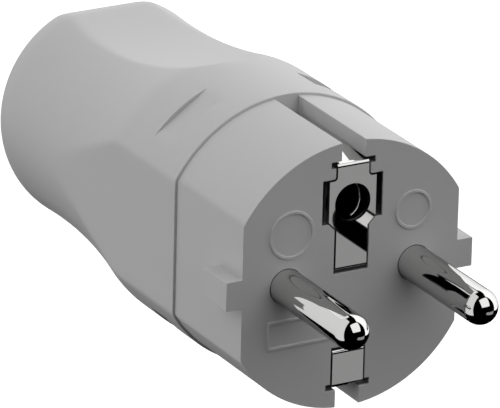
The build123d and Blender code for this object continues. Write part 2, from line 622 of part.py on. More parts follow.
# Cord clamp saddle: an arched bar on the two bosses of the tongue
with BuildPart() as cord_clamp_saddle:
    with BuildSketch(section(CLAMP_Y - SADDLE_LENGTH / 2)):
        with Locations((0, CLAMP_SEAT_Z)):
            Rectangle(SADDLE_WIDTH, SADDLE_TOP - CLAMP_SEAT_Z, align=(Align.CENTER, Align.MIN))
        Circle(CORD_R, mode=Mode.SUBTRACT)
    extrude(amount=-SADDLE_LENGTH)
    fillet(cord_clamp_saddle.edges().filter_by(Axis.Y).group_by(Axis.Z)[-1], radius=SADDLE_ROUND)
    with Locations((-CLAMP_X, CLAMP_Y, SADDLE_TOP), (CLAMP_X, CLAMP_Y, SADDLE_TOP)):
        CounterBoreHole(CLAMP_SCREW_R + HOLE_CLEARANCE, CLAMP_HEAD_R + HOLE_CLEARANCE, CLAMP_HEAD_HEIGHT)

# Terminal screws and wire leaves, one of each at every pillar
terminal_nodes = {}
for name, x, z in (("line", -PIN_X, 0), ("neutral", PIN_X, 0), ("earth", 0, EARTH_Z)):
    seat = Plane((x, TERMINAL_SCREW_Y, z + PILLAR_R))
    terminal_nodes[name + "_terminal_screw"] = make_slotted_screw(
        seat, TERMINAL_SCREW_R, PILLAR_R - LEAF_TOP, TERMINAL_HEAD_R, TERMINAL_HEAD_HEIGHT
    )
    terminal_nodes[name + "_wire_leaf"] = make_wire_leaf(x, z)

# Screws of the terminal plate, and screws and square nuts of the cord clamp
clamp_seat = SADDLE_TOP - CLAMP_HEAD_HEIGHT
nut_top = TONGUE_BOTTOM + NUT_T
fastener_nodes = {}
for name, side in (("left", -1), ("right", 1)):
    plate_seat = Plane((side * PLATE_SCREW_X, PLATE_BACK, PLATE_SCREW_Z), x_dir=(1, 0, 0), z_dir=(0, 1, 0))
    fastener_nodes["plate_screw_" + name] = make_slotted_screw(
        plate_seat, PLATE_SCREW_R, PLATE_T + PLATE_SCREW_GRIP, PLATE_SCREW_HEAD_R, PLATE_SCREW_HEAD_HEIGHT
    )
    saddle_seat = Plane((side * CLAMP_X, CLAMP_Y, clamp_seat))
    fastener_nodes["clamp_screw_" + name] = make_slotted_screw(
        saddle_seat, CLAMP_SCREW_R, clamp_seat - TONGUE_BOTTOM, CLAMP_HEAD_R, CLAMP_HEAD_HEIGHT
    )
    with BuildPart() as nut:
        with BuildSketch(Plane((side * CLAMP_X, CLAMP_Y, TONGUE_BOTTOM))):
            Rectangle(NUT_SIDE, NUT_SIDE)
            Circle(CLAMP_SCREW_R + SCREW_CLEARANCE, mode=Mode.SUBTRACT)
        extrude(amount=NUT_T)
    fastener_nodes["clamp_nut_" + name] = nut

# One labelled solid and one file for each piece
nodes = {
    "contact_carrier": contact_carrier,
    "rear_hood": rear_hood,
    "line_pin": line_pin,
    "neutral_pin": neutral_pin,
    "earth_strip": earth_strip,
    "earth_socket": earth_socket,
    "terminal_plate": terminal_plate,
    "cord_clamp_saddle": cord_clamp_saddle,
    **terminal_nodes,
    **fastener_nodes,
}
os.makedirs("parts", exist_ok=True)
for node_name, node in nodes.items():
    node.part.label = node_name
    export_step(node.part, f"parts/{node_name}.step")
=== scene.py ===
"""Finished surfaces, materials and a small photo studio for a grounded two-pin mains plug."""

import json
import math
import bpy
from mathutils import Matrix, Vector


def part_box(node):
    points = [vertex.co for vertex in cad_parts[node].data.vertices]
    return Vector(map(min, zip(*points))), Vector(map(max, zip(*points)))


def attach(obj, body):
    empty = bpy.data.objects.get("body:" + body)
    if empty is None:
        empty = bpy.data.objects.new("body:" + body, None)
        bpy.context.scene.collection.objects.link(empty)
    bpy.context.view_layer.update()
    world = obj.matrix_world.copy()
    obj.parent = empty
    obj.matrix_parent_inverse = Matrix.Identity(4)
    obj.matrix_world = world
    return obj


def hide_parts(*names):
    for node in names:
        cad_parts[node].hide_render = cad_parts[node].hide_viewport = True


bl_info = {
    "name": "Grounded Mains Plug",
    "version": (1, 0, 0),
    "blender": (4, 5, 0),
    "location": "View3D > Sidebar > Plug",
    "description": "Builds the finished surfaces of a grounded mains plug, its materials and a small studio",
    "category": "Object",
}

import bmesh
import bpy
import numpy as np
from bpy.props import FloatProperty, FloatVectorProperty, PointerProperty
from mathutils import Quaternion, Vector

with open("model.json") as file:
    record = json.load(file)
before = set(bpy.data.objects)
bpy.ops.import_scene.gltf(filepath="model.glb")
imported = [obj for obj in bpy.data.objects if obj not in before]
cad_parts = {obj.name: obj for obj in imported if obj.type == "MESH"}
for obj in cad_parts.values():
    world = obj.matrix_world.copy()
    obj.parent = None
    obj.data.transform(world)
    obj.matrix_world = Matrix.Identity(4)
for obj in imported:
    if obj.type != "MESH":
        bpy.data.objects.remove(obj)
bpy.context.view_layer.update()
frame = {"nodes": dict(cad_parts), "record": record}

MM = 0.001

# What the frame says about the plug, in metres, and the slots of the pieces inside it
MOUNTS = {mount["name"]: mount for mount in frame["record"]["mounts"]}
SLOTS = {part["node"]: part["material_slot"] for part in frame["record"]["subparts"]}
INNER_SLOTS = ("inner_plastic", "zinc_steel", "leaf_brass")
HOOD_LOW, HOOD_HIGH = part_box("rear_hood")
PIN_LOW, PIN_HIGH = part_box("neutral_pin")
PIN_SPACING = MOUNTS["pins"]["dims"]["spacing_x_mm"] * MM
PIN_RADIUS = MOUNTS["pins"]["dims"]["stud_r_mm"] * MM
INLET_RADIUS = MOUNTS["cable_inlet"]["dims"]["r_mm"] * MM
SOCKET_RADIUS = MOUNTS["earth_pin_socket"]["dims"]["r_mm"] * MM
SOCKET_LEVEL = MOUNTS["earth_pin_socket"]["pos_m"][2]

# The photograph's frame, for the camera's lens
PHOTO_WIDTH = 500
SENSOR_WIDTH = 36.0

# Meshes: the least divisor, the distance under which points are one, the angle of a sharp edge, the angle
# under which faces are flat, the steps of a rounded edge, and the pull of large faces on the shading
TINY = 1e-9
MERGE = 0.001 * MM
SHARP_ANGLE = math.radians(32)
FLAT_ANGLE = math.radians(0.5)
ROUND_SEGMENTS = 2
FACE_PULL = 100

# Points along a pin's nose and across the socket's lip, and round each of them
NOSE_STEPS = 33
LIP_STEPS = 13
PIN_COLUMNS = 128
LIP_COLUMNS = 96


def number(name, description, default, **kind):
    """A number that a user may change."""
    return FloatProperty(name=name, description=description, default=default, **kind)


def length(name, description, default):
    """A size in metres."""
    return number(name, description, default, precision=5, unit="LENGTH")


def angle(name, description, degrees):
    """An angle, given in degrees and kept in radians."""
    return number(name, description, math.radians(degrees), subtype="ANGLE")


def share(name, description, default):
    """A number from nought to one."""
    return number(name, description, default, min=0.0, max=1.0, subtype="FACTOR")


def triple(name, description, default, subtype):
    """Three numbers along the plug's axes."""
    return FloatVectorProperty(name=name, description=description, default=default, size=3, subtype=subtype)


def colour(name, description, default):
    """A linear colour."""
    return triple(name, description, default, "COLOR")


class HoodSizes(bpy.types.PropertyGroup):
    """Sizes of the rear hood."""

    barrel: length("Barrel radius", "Radius of the turned body ahead of the waist", HOOD_HIGH.z)
    flat: length("Flat", "Distance of the flat sides from the axis", HOOD_HIGH.x)
    front: length("Front", "Where the front rim lies along the plug", HOOD_LOW.y)
    rear: length("Rear", "Where the rear face lies along the plug", HOOD_HIGH.y)
    wall: length("Wall", "Thickness of the shell", 2.2 * MM)
    end_wall: length("End wall", "Thickness of the rear end", 3.0 * MM)
    end_round: length("End round", "Radius between the sides and the rear face", 7.5 * MM)
    waist_depth: length("Waist depth", "How far the turned waist goes in", 2.98 * MM)
    waist_from_rear: length("Waist place", "From the rear face to the narrowest turn", 13.45 * MM)
    waist_arc: length("Waist arc", "Radius of the waist's hollow arc", 115.0 * MM)
    scoop_depth: length("Scoop depth", "How far the scoops above and below go in", 4.63 * MM)
    scoop_from_rear: length("Scoop place", "From the rear face to the lowest point of a scoop", 16.25 * MM)
    scoop_arc: length("Scoop arc", "Radius of the scoop's hollow arc", 75.0 * MM)
    rim_round: length("Rim round", "Rounding of the front rim's outer edge", 0.12 * MM)
    crease: length("Crease", "Softness of the crease between barrel and waist", 0.35 * MM)
    flat_edge: length("Flat edge", "Softness of the edges of the flat sides", 0.3 * MM)
    scoop_edge_front: length("Scoop edge, front", "Softness of a scoop's edge where it starts", 0.22 * MM)
    scoop_edge_rear: length("Scoop edge, rear", "Softness of a scoop's edge at the rear", 0.4 * MM)
    soft_from: length("Soft from", "Where the scoop's edge starts to soften", 48.0 * MM)
    soft_to: length("Soft to", "Where the scoop's edge is softest", 60.0 * MM)
    notch_angle: angle("Notch angle", "Angle of the grip notches from the sides", 54.9)
    notch_setback: length("Notch place", "From the front rim to a grip notch", 4.8 * MM)
    notch_length: length("Notch length", "Length of a grip notch along the plug", 4.5 * MM)
    notch_depth: length("Notch depth", "Depth of a grip notch at its middle", 0.57 * MM)
    pocket_radius: length("Pocket radius", "Radius to the floor of a latch pocket", 17.3 * MM)
    pocket_width: length("Pocket width", "Width of a latch pocket", 6.7 * MM)
    pocket_setback: length("Pocket place", "From the front rim to a latch pocket", 4.75 * MM)
    pocket_length: length("Pocket length", "Length of a latch pocket along the plug", 2.3 * MM)
    stop_level: length("Stop level", "Height of the slot stops' inner faces over the axis", 15.68 * MM)
    stop_width: length("Stop width", "Width of a slot stop", 4.5 * MM)
    stop_length: length("Stop length", "Length of a slot stop along the plug", 2.0 * MM)
    neck_wall: length("Neck wall", "Wall of the cord inlet's neck", 2.2 * MM)
    neck_length: length("Neck length", "Length of the inlet's neck inside", 6.0 * MM)
    mouth_round: length("Mouth round", "Rounding of the cord inlet's mouth", 0.8 * MM)


class PinSizes(bpy.types.PropertyGroup):
    """Sizes of the contact pins."""

    radius: length("Radius", "Radius of the shank", PIN_RADIUS)
    spacing: length("Spacing", "Between the pins' axes", PIN_SPACING)
    tip: length("Tip", "Where the round nose ends, along the plug", PIN_LOW.y)
    pillar_end: length("Pillar end", "Where the pillar terminal ends, along the plug", PIN_HIGH.y)
    collar: length("Collar radius", "Radius of the collar", (PIN_HIGH.x - PIN_LOW.x) / 2)
    collar_front: length("Collar front", "Where the collar starts, along the plug", 13.8 * MM)
    collar_back: length("Collar back", "Where the collar ends, along the plug", 17.8 * MM)
    hole: length("Hole radius", "Radius of the carrier's holes round the pins", 2.46 * MM)
    root: length("Root radius", "Radius of the thicker root in the carrier", 2.44 * MM)
    root_front: length("Root front", "Where the thicker root starts, along the plug", 1.5 * MM)
    pillar: length("Pillar radius", "Radius of the pillar terminal", 3.0 * MM)
    bore: length("Bore radius", "Radius of the wire bore", 1.6 * MM)
    bore_depth: length("Bore depth", "Depth of the wire bore", 11.0 * MM)


class CarrierSizes(bpy.types.PropertyGroup):
    """Rounding of the carrier's edges, and where the shade painted in its recess lies."""

    moulded: length("Moulded edges", "Width of the rounding on the carrier's edges", 0.08 * MM)
    # The recess around the earth strip, where the carrier's colour gets painted shade that deepens behind the
    # face
    recess_side: length("Recess side", "Half the width of the recess around the earth strip", 6.2 * MM)
    recess_head: length("Recess head", "Half the height of that recess", 15.98 * MM)
    recess_floor: length("Recess floor", "Depth behind the face at which the recess ends", 6.0 * MM)
    painted_shade_depth: length("Painted shade depth", "Depth behind the face at which the painted shade is darkest", 0.3 * MM)


class LipSizes(bpy.types.PropertyGroup):
    """Sizes and place of the slanted lip inside the earth socket."""

    depth: length("Depth", "From the face to the middle of the lip", 2.38 * MM)
    slant: triple("Slant", "How much deeper it lies per length right, along and up", (0.13, 0.0, 0.35), "XYZ")
    height: length("Height", "How far the lip stands into the bore", 0.12 * MM)
    width: length("Width", "Width of the lip along the bore", 0.36 * MM)
    sink: length("Sink", "How far the lip's back lies in the socket's wall", 0.1 * MM)
    middle: angle("Middle", "Angle of the lip's middle from the right side, seen from the front", -18.0)
    reach: angle("Reach", "Angle from the lip's middle to where its ends start to sink", 54.0)
    fade: angle("Fade", "Angle over which its ends sink into the wall", 12.0)


class Finishes(bpy.types.PropertyGroup):
    """Colours of the plug's finishes, and how dark the shade painted in its recess is."""

    grey_plastic: colour("Grey plastic", "Colour of the carrier and the hood", (0.53, 0.53, 0.53))
    inner_plastic: colour("Inner plastic", "Colour of the terminal plate and the clamp", (0.70, 0.69, 0.65))
    nickel: colour("Nickel", "Colour of the pins and the earth contacts", (0.70, 0.697, 0.692))
    pin_rim: colour("Pin rim", "Tint of the pins' plating along their outlines", (0.58, 0.58, 0.58))
    # Painted shade: how much of its colour the carrier keeps deep in the recess
    painted_recess_shade: share("Recess painted shade", "How much of its colour the plastic keeps deep in the recess", 0.3)
    # Partly painted highlight: the lip is modelled and lit by the lamps, but its colour is brighter than the
    # nickel
    bright_lip: colour("Bright lip", "Colour of the lip inside the earth socket", (0.95, 0.95, 0.95))
    # Painted shade: the socket's metal is near black so that its bore reads dark
    dull_bore: colour("Bore painted dark", "Colour of the earth socket, near black as painted shade in its bore", (0.03, 0.03, 0.03))
    zinc: colour("Zinc plate", "Colour of the screws and nuts", (0.62, 0.63, 0.65))
    brass: colour("Brass", "Colour of the wire leaves", (0.80, 0.62, 0.32))


class StudioSettings(bpy.types.PropertyGroup):
    """The camera, the floor, the dark tent and the lights."""

    camera_azimuth: angle("Camera azimuth", "Turn of the camera to the left of the pins' direction", 29.5145)
    camera_elevation: angle("Camera elevation", "Height of the camera above the horizon", 21.4973)
    camera_roll: angle("Camera roll", "Turn of the camera about its own axis", 1.3896)
    camera_distance: length("Camera distance", "From the camera to the point it looks at", 816.57 * MM)
    camera_aim: triple(
        "Camera aim", "Where the camera looks", (-9.9036 * MM, 9.2968 * MM, 8.1538 * MM), "TRANSLATION"
    )
    focal_pixels: number("Focal length", "Focal length in pixels of the photograph", 6323.94)
    floor_level: length("Floor level", "Height of the floor", -0.95)
    floor_reach: length("Floor reach", "Half the floor's side", 8.0)
    floor_shade: share("Floor shade", "How much of the light the floor gives back", 0.95)
    floor_glow: number("Floor glow", "Light of the floor itself", 0.8)
    tent_radius: length("Tent radius", "Radius of the dark tent that the plating mirrors", 8.0)
    tent_above: length("Tent foot", "How far over the floor the tent's dark mat lies", 0.01)
    window_azimuth: angle("Window side", "Turn from the pins' direction to the tent's rear window", 165.0)
    window_head: angle("Window head", "Upper edge of the tent's rear window", 60.0)
    panel_distance: length("Panel distance", "From the plug to each panel", 1.0)
    left_light: number("Left panel", "Radiance of the panel at the left", 0.88)
    left_front: length("Left panel front", "How far the left panel reaches to the front", 0.36)
    left_back: length("Left panel back", "How far the left panel reaches to the back", 4.0)
    left_foot: length("Left panel foot", "Lower edge of the left panel", -0.88)
    left_head: length("Left panel head", "Upper edge of the left panel", 5.0)
    right_light: number("Right panel", "Radiance of the panel at the right", 1.46)
    right_front: length("Right panel front", "How far the right panel reaches to the front", 0.44)
    right_back: length("Right panel back", "How far the right panel reaches to the back", 4.0)
    right_foot: length("Right panel foot", "Lower edge of the right panel", -0.365)
    right_head: length("Right panel head", "Upper edge of the right panel", 2.25)
    front_light: number("Front panel", "Radiance of the square panel in front", 1.18)
    front_azimuth: angle("Front panel azimuth", "Turn of the front panel right of the pins' direction", 8.8)
    front_elevation: angle("Front panel elevation", "Height of the front panel above the horizon", 40.5)
    front_side: length("Front panel side", "Side of the front panel", 1.0)
    glint_light: number("Low card", "Radiance of the low card in front", 0.362)
    glint_azimuth: angle("Low card azimuth", "Turn of the low card right of the pins' direction", 38.0)
    glint_elevation: angle("Low card elevation", "Height of the low card above the horizon", -27.0)
    glint_width: length("Low card width", "Width of the low card", 0.82)
    glint_height: length("Low card height", "Height of the low card", 0.27)
    flag_front: length("Rear flag front", "Where the dark flag before the right panel's foot starts", 0.9)
    flag_head: length("Rear flag head", "Upper edge of that flag", -0.08)
    flag_room: length("Rear flag room", "Between that flag and the right panel", 0.03)
    dome_level: number("Dome level", "Mean light of the dome", 0.21)
    dome_tilt: triple("Dome tilt", "How much brighter it is right, back and up", (0.15, 0.15, 0.18), "XYZ")


def closed_faces(rows, columns, rows_close):
    """Quads of a grid whose columns close on themselves, and its rows too where asked: corner indices."""
    index = np.arange(rows * columns).reshape(rows, columns)
    ahead = np.roll(index, -1, axis=0)
    near, far = (index, ahead) if rows_close else (index[:-1], ahead[:-1])
    quads = np.stack([near, far, np.roll(far, -1, axis=1), np.roll(near, -1, axis=1)], axis=-1)
    return quads.reshape(-1, 4)


def merged_mesh(name, source):
    """A copy of a mesh whose double points and empty faces are gone."""
    mesh = bpy.data.meshes.new(name)
    shape = bmesh.new()
    shape.from_mesh(source)
    bmesh.ops.remove_doubles(shape, verts=shape.verts, dist=MERGE)
    bmesh.ops.dissolve_degenerate(shape, edges=shape.edges, dist=MERGE)
    shape.to_mesh(mesh)
    shape.free()
    return mesh


def grid_mesh(name, points, faces):
    """A mesh from arrays of points and faces, merged."""
    raw = bpy.data.meshes.new(name + "_grid")
    raw.from_pydata(points.tolist(), [], faces.tolist())
    mesh = merged_mesh(name, raw)
    bpy.data.meshes.remove(raw)
    return mesh


def check_closed(mesh):
    """Stops where a mesh is open or inside out."""
    shape = bmesh.new()
    shape.from_mesh(mesh)
    is_sound = shape.calc_volume(signed=True) > 0 and all(edge.is_manifold for edge in shape.edges)
    shape.free()
    if not is_sound:
        raise ValueError(f"{mesh.name} is open or inside out")


def add_object(name, data):
    """A new object in the scene."""
    made = bpy.data.objects.new(name, data)
    bpy.context.scene.collection.objects.link(made)
    return made


def add_detail(mesh, finish):
    """An object from a closed mesh, smooth but for its sharp edges and a finish."""
    check_closed(mesh)
    mesh.polygons.foreach_set("use_smooth", np.ones(len(mesh.polygons), dtype=bool))
    mesh.set_sharp_from_angle(angle=SHARP_ANGLE)
    mesh.materials.clear()
    mesh.materials.append(finish_material(finish))
    mesh.polygons.foreach_set("material_index", np.zeros(len(mesh.polygons), dtype=np.int32))
    piece = add_object(mesh.name, mesh)
    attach(piece, "root")
    return piece


def add_piece(mesh, node, finish):
    """An object from a closed mesh which stands for a CAD node."""
    piece = add_detail(mesh, finish)
    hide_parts(node)
    return piece


def build_carrier(size, pins):
    """A copy of the carrier with its points merged, its flats joined and its sharp edges rounded.

    Near a pin's axis, up to halfway between shank and collar, edges stay sharp, and points move straight out
    from the axis or in to it, on to the hole's radius."""
    mesh = merged_mesh("contact_carrier_moulded", frame["nodes"]["contact_carrier"].data)
    shape = bmesh.new()
    shape.from_mesh(mesh)
    bmesh.ops.dissolve_limit(shape, angle_limit=FLAT_ANGLE, verts=shape.verts, edges=shape.edges)
    turns = np.array([edge.calc_face_angle(0.0) for edge in shape.edges])
    shape.to_mesh(mesh)
    shape.free()
    points = np.empty(3 * len(mesh.vertices))
    mesh.vertices.foreach_get("co", points)
    ends = np.empty(2 * len(mesh.edges), dtype=np.int32)
    mesh.edges.foreach_get("vertices", ends)
    points = points.reshape(-1, 3)
    middles = points[ends.reshape(-1, 2)].mean(axis=1)
    sharp = turns > SHARP_ANGLE
    rounded = sharp.copy()
    near = (pins.radius + pins.collar) / 2
    for x in (-pins.spacing / 2, pins.spacing / 2):
        rounded &= np.hypot(middles[:, 0] - x, middles[:, 2]) > near
        axis = np.array((x, 0.0, 0.0))
        reach = np.hypot(points[:, 0] - x, points[:, 2])
        scale = np.where(reach < near, pins.hole / np.maximum(reach, TINY), 1.0)
        points = axis + (points - axis) * (scale[:, None] * (1, 0, 1) + (0, 1, 0))
    mesh.vertices.foreach_set("co", points.ravel())
    weights = mesh.attributes.new("bevel_weight_edge", "FLOAT", "EDGE")
    weights.data.foreach_set("value", rounded.astype(np.float32))
    piece = add_piece(mesh, "contact_carrier", "carrier_plastic")
    mesh.edges.foreach_set("use_edge_sharp", sharp & ~rounded)
    bevel = piece.modifiers.new("Edge rounding", "BEVEL")
    bevel.width = size.moulded
    bevel.segments = ROUND_SEGMENTS
    bevel.limit_method = "WEIGHT"
    bevel.use_clamp_overlap = False
    weighted = piece.modifiers.new("Flat faces", "WEIGHTED_NORMAL")
    weighted.weight = FACE_PULL
    weighted.keep_sharp = True


def smooth_min(first, second, softness):
    """The lesser of two, less their overlap within the softness squared over four times the softness."""
    overlap = np.clip(softness - np.abs(first - second), 0, None)
    return np.minimum(first, second) - overlap**2 / (4 * softness)


def smooth_step(value, start, end):
    """Nought before start, one after end, and three t squared less two t cubed between them."""
    t = np.clip((value - start) / (end - start), 0, 1)
    return t * t * (3 - 2 * t)


def hollow_profile(y, lowest, lowest_y, arc, rear, end_round):
    """Height of a hollow arc over the axis, ending in a round that touches the arc and the rear plane.

    On the arc the height is lowest + arc - sqrt(arc^2 - (y - lowest_y)^2). The round's centre is an end_round
    ahead of the rear, and arc + end_round from the arc's own centre."""
    centre_y = rear - end_round
    centre = lowest + arc - math.sqrt((arc + end_round) ** 2 - (centre_y - lowest_y) ** 2)
    touch_y = lowest_y + (centre_y - lowest_y) * arc / (arc + end_round)
    on_arc = lowest + arc - np.sqrt(arc**2 - (y - lowest_y) ** 2)
    on_round = centre + np.sqrt(np.clip(end_round**2 - (y - centre_y) ** 2, 0, None))
    return np.where(y < touch_y, on_arc, on_round)


def hood_profiles(y, size, inset, rear, end_round):
    """The turned radius and the scoop's height at distances along the plug, inset from the outside."""
    waist_y = size.rear - size.waist_from_rear
    scoop_y = size.rear - size.scoop_from_rear
    barrel = size.barrel - inset
    waist = hollow_profile(y, barrel - size.waist_depth, waist_y, size.waist_arc + inset, rear, end_round)
    scoop = hollow_profile(y, barrel - size.scoop_depth, scoop_y, size.scoop_arc + inset, rear, end_round)
    return smooth_min(np.full_like(y, barrel), waist, size.crease), scoop


def hood_radius(theta, y, size, inset, rear, end_round):
    """Distance of the hood's surface from the axis, by angle from the right side and distance along the plug.

    It is the soft minimum of the turned radius, the scoop's height over |sin theta| and the flat over
    |cos theta|."""
    turned, scoop = hood_profiles(y, size, inset, rear, end_round)
    growth = smooth_step(y, size.soft_from, size.soft_to)
    softness = size.scoop_edge_front + growth * (size.scoop_edge_rear - size.scoop_edge_front)
    scooped = smooth_min(turned, scoop / np.maximum(np.abs(np.sin(theta)), TINY), softness)
    flat = (size.flat - inset) / np.maximum(np.abs(np.cos(theta)), TINY)
    return smooth_min(scooped, flat, size.flat_edge)


# Columns of a quarter of the hood: steps over flat, round and scoop outside, and points beside the pocket,
# in it, between pocket and stop, and on the stop inside. A stop narrows a little inwards, the outside's
# columns crowd at the ends of each span, and its spans keep a margin from the quarter's ends.
QUADRANT_STEPS = (20, 36, 28)
INNER_STEPS = (29, 27, 19, 10)
POCKET_SPAN = 1
STOP_SPAN = 3
STOP_TAPER = 0.98
CROWDING = 0.85
SPAN_MARGIN = math.radians(4)

# Rows of the outside from the front: rim, flank, notch, gap, waist and end round, and those of the mouth
RIM_ROWS = 5
FLANK_ROWS = 4
NOTCH_ROWS = 5
GAP_ROWS = 4
WAIST_ROWS = 110
END_ROWS = 29
MOUTH_ROWS = 13

# Rows of the inside from the front: equal bands of stop, gap and pocket, then the waist and the end round
BAND_ROWS = 4
STOP_BAND = 0
POCKET_BAND = 2
INNER_WAIST_ROWS = 40
INNER_END_ROWS = 12


def crowded(start, end, steps):
    """Values from start up to end, closer together at both ends: the share is t - c sin(2 pi t) / (2 pi)."""
    t = np.linspace(0, 1, steps, endpoint=False)
    t = t - CROWDING * np.sin(2 * np.pi * t) / (2 * np.pi)
    return start[:, None] + (end - start)[:, None] * t


def around(quadrant):
    """A full turn from a quarter turn that holds both its ends, mirrored at the sides and at the top."""
    back = quadrant[:, :0:-1]
    there = quadrant[:, :-1]
    return np.concatenate([there, np.pi - back, np.pi + there, 2 * np.pi - back], axis=1)


def outer_angles(y, size):
    """Angles of the outside's columns by row: a quarter turn is split where the flat and the scoop begin."""
    turned, scoop = hood_profiles(y, size, 0.0, size.rear, size.end_round)
    flat_end = np.arccos(np.clip(size.flat / turned, -1, 1))
    scoop_start = np.arcsin(np.clip(scoop / turned, 0, 1))
    edges = [
        np.zeros_like(y),
        np.maximum(flat_end, SPAN_MARGIN),
        np.minimum(scoop_start, np.pi / 2 - SPAN_MARGIN),
        np.full_like(y, np.pi / 2),
    ]
    spans = [crowded(start, end, steps) for start, end, steps in zip(edges, edges[1:], QUADRANT_STEPS)]
    return around(np.concatenate([*spans, edges[-1][:, None]], axis=1))


def inner_angles(size):
    """Angles of the inside's columns, doubled at the sides of pockets and stops, and the columns in each."""
    inner = size.barrel - size.wall
    half = size.pocket_width / 2
    outside = math.asin(half / inner)
    inside = math.asin(half / size.pocket_radius)
    middle = size.notch_angle
    stop_side = math.asin(size.stop_width / 2 / inner)
    ends = [
        (0, middle - outside),
        (middle - inside, middle + inside),
        (middle + outside, np.pi / 2 - stop_side),
        (np.pi / 2 - STOP_TAPER * stop_side, np.pi / 2),
    ]
    spans = [np.linspace(start, end, steps) for (start, end), steps in zip(ends, INNER_STEPS)]
    span = np.repeat(np.arange(len(spans)), INNER_STEPS)
    spans_around = np.concatenate([span[:-1], span[:0:-1], span[:-1], span[:0:-1]])[None]
    return around(np.concatenate(spans)[None]), spans_around == POCKET_SPAN, spans_around == STOP_SPAN


def notch_cut(theta, radius, size):
    """The radius cut by a grip notch: the chord at its depth over the cosine of the angle from its middle."""
    corner = np.abs(np.arctan2(np.abs(np.sin(theta)), np.abs(np.cos(theta))) - size.notch_angle)
    return np.minimum(radius, (size.barrel - size.notch_depth) / np.cos(corner))


def hood_outside(size):
    """Rows of the outside, from the rim to the rear face's edge: angles, radii and distances along."""
    front, rear, rim = size.front, size.rear, size.rim_round
    notch_start = front + size.notch_setback
    notch_end = notch_start + size.notch_length
    round_start = rear - size.end_round
    waist_start = notch_end + size.notch_setback
    turn = np.linspace(0, np.pi / 2, RIM_ROWS)
    closing = np.linspace(0, np.pi / 2, END_ROWS)
    y = np.concatenate([
        front + rim * (1 - np.cos(turn)),
        np.linspace(front + 2 * rim, notch_start, FLANK_ROWS),
        np.linspace(notch_start, notch_end, NOTCH_ROWS),
        np.linspace(notch_end, waist_start, GAP_ROWS),
        np.linspace(waist_start, round_start, WAIST_ROWS)[1:],
        round_start + size.end_round * np.sin(closing[1:]),
    ])
    notch_row = RIM_ROWS + FLANK_ROWS
    notched = np.zeros(y.size, dtype=bool)
    notched[notch_row:notch_row + NOTCH_ROWS] = True
    sunk = np.zeros(y.size)
    sunk[:RIM_ROWS] = rim * (1 - np.sin(turn))
    theta = outer_angles(y, size)
    radius = hood_radius(theta, y[:, None], size, 0.0, rear, size.end_round)
    radius = np.where(notched[:, None], notch_cut(theta, radius, size), radius) - sunk[:, None]
    return theta, radius, np.broadcast_to(y[:, None], theta.shape)


def hood_mouth(theta, edge, size):
    """Rows from the rear face's edge through the round mouth, bore and neck to the end wall inside."""
    rear, inlet, rounding = size.rear, INLET_RADIUS, size.mouth_round
    inner_rear = rear - size.end_wall
    neck_start = inner_rear - size.neck_length
    neck = inlet + size.neck_wall
    turn = np.linspace(0, np.pi / 2, MOUTH_ROWS)
    radius = np.concatenate([inlet + rounding * (1 - np.sin(turn)), [inlet, neck, neck]])
    y = np.concatenate([rear - rounding * (1 - np.cos(turn)), [neck_start, neck_start, inner_rear]])
    halfway = (edge + inlet + rounding) / 2
    radius = np.concatenate([halfway[None], np.broadcast_to(radius[:, None], (radius.size, theta.size))])
    y = np.concatenate([[rear], y])
    return np.broadcast_to(theta, radius.shape), radius, np.broadcast_to(y[:, None], radius.shape)


def hood_inside(size):
    """Rows of the inside, from the end wall to the rim, with four latch pockets and two slot stops."""
    front = size.front
    rear = size.rear - size.end_wall
    end_round = size.end_round - size.wall
    pocket_start = front + size.pocket_setback
    pocket_end = pocket_start + size.pocket_length
    closing = np.linspace(0, np.pi / 2, INNER_END_ROWS)
    stop_end = front + size.stop_length
    y = np.concatenate([
        np.linspace(front, stop_end, BAND_ROWS),
        np.linspace(stop_end, pocket_start, BAND_ROWS),
        np.linspace(pocket_start, pocket_end, BAND_ROWS),
        np.linspace(pocket_end, rear - end_round, INNER_WAIST_ROWS),
        rear - end_round + end_round * np.sin(closing[1:]),
    ])
    band = np.arange(y.size)[:, None] // BAND_ROWS
    theta, in_pocket, in_stop = inner_angles(size)
    theta = np.broadcast_to(theta, (y.size, theta.size))
    radius = hood_radius(theta, y[:, None], size, size.wall, rear, end_round)
    radius = np.where((band == POCKET_BAND) & in_pocket, size.pocket_radius, radius)
    stop = size.stop_level / np.maximum(np.abs(np.sin(theta)), TINY)
    radius = np.where((band == STOP_BAND) & in_stop, stop, radius)
    return theta[::-1], radius[::-1], np.broadcast_to(y[::-1, None], theta.shape)


def build_hood(size):
    """The rear hood: one closed grid of outside, rear end, cord inlet and inside, by angle and distance."""
    outside = hood_outside(size)
    mouth = hood_mouth(outside[0][-1], outside[1][-1], size)
    inside = hood_inside(size)
    theta, radius, y = (np.concatenate(rows) for rows in zip(outside, mouth, inside))
    points = np.stack([radius * np.cos(theta), y, radius * np.sin(theta)], axis=-1).reshape(-1, 3)
    faces = closed_faces(*theta.shape, rows_close=True)
    add_piece(grid_mesh("rear_hood_shell", points, faces), "rear_hood", "grey_plastic")


def lathe(profile, x, z, columns, ring):
    """A profile of distances along the plug and radii, turned about an axis along the plug at x and z.

    The profile of a ring closes on itself."""
    theta = np.linspace(0, 2 * np.pi, columns, endpoint=False)
    y, radius = profile[:, :1], profile[:, 1:]
    parts = np.broadcast_arrays(x + radius * np.cos(theta), y, z + radius * np.sin(theta))
    return np.stack(parts, axis=-1).reshape(-1, 3), closed_faces(len(profile), columns, rows_close=ring)


def lip_profile(size):
    """The socket's lip: half an ellipse that stands into the bore, and a straight back in the wall."""
    turn = np.linspace(0, np.pi, LIP_STEPS)
    along = size.depth + size.width / 2 * np.cos(turn)
    radius = SOCKET_RADIUS - size.height * np.sin(turn)
    back = [(size.depth + side * size.width / 2, SOCKET_RADIUS + size.sink) for side in (-1, 1)]
    return np.concatenate([np.stack([along, radius], axis=-1), np.array(back)])


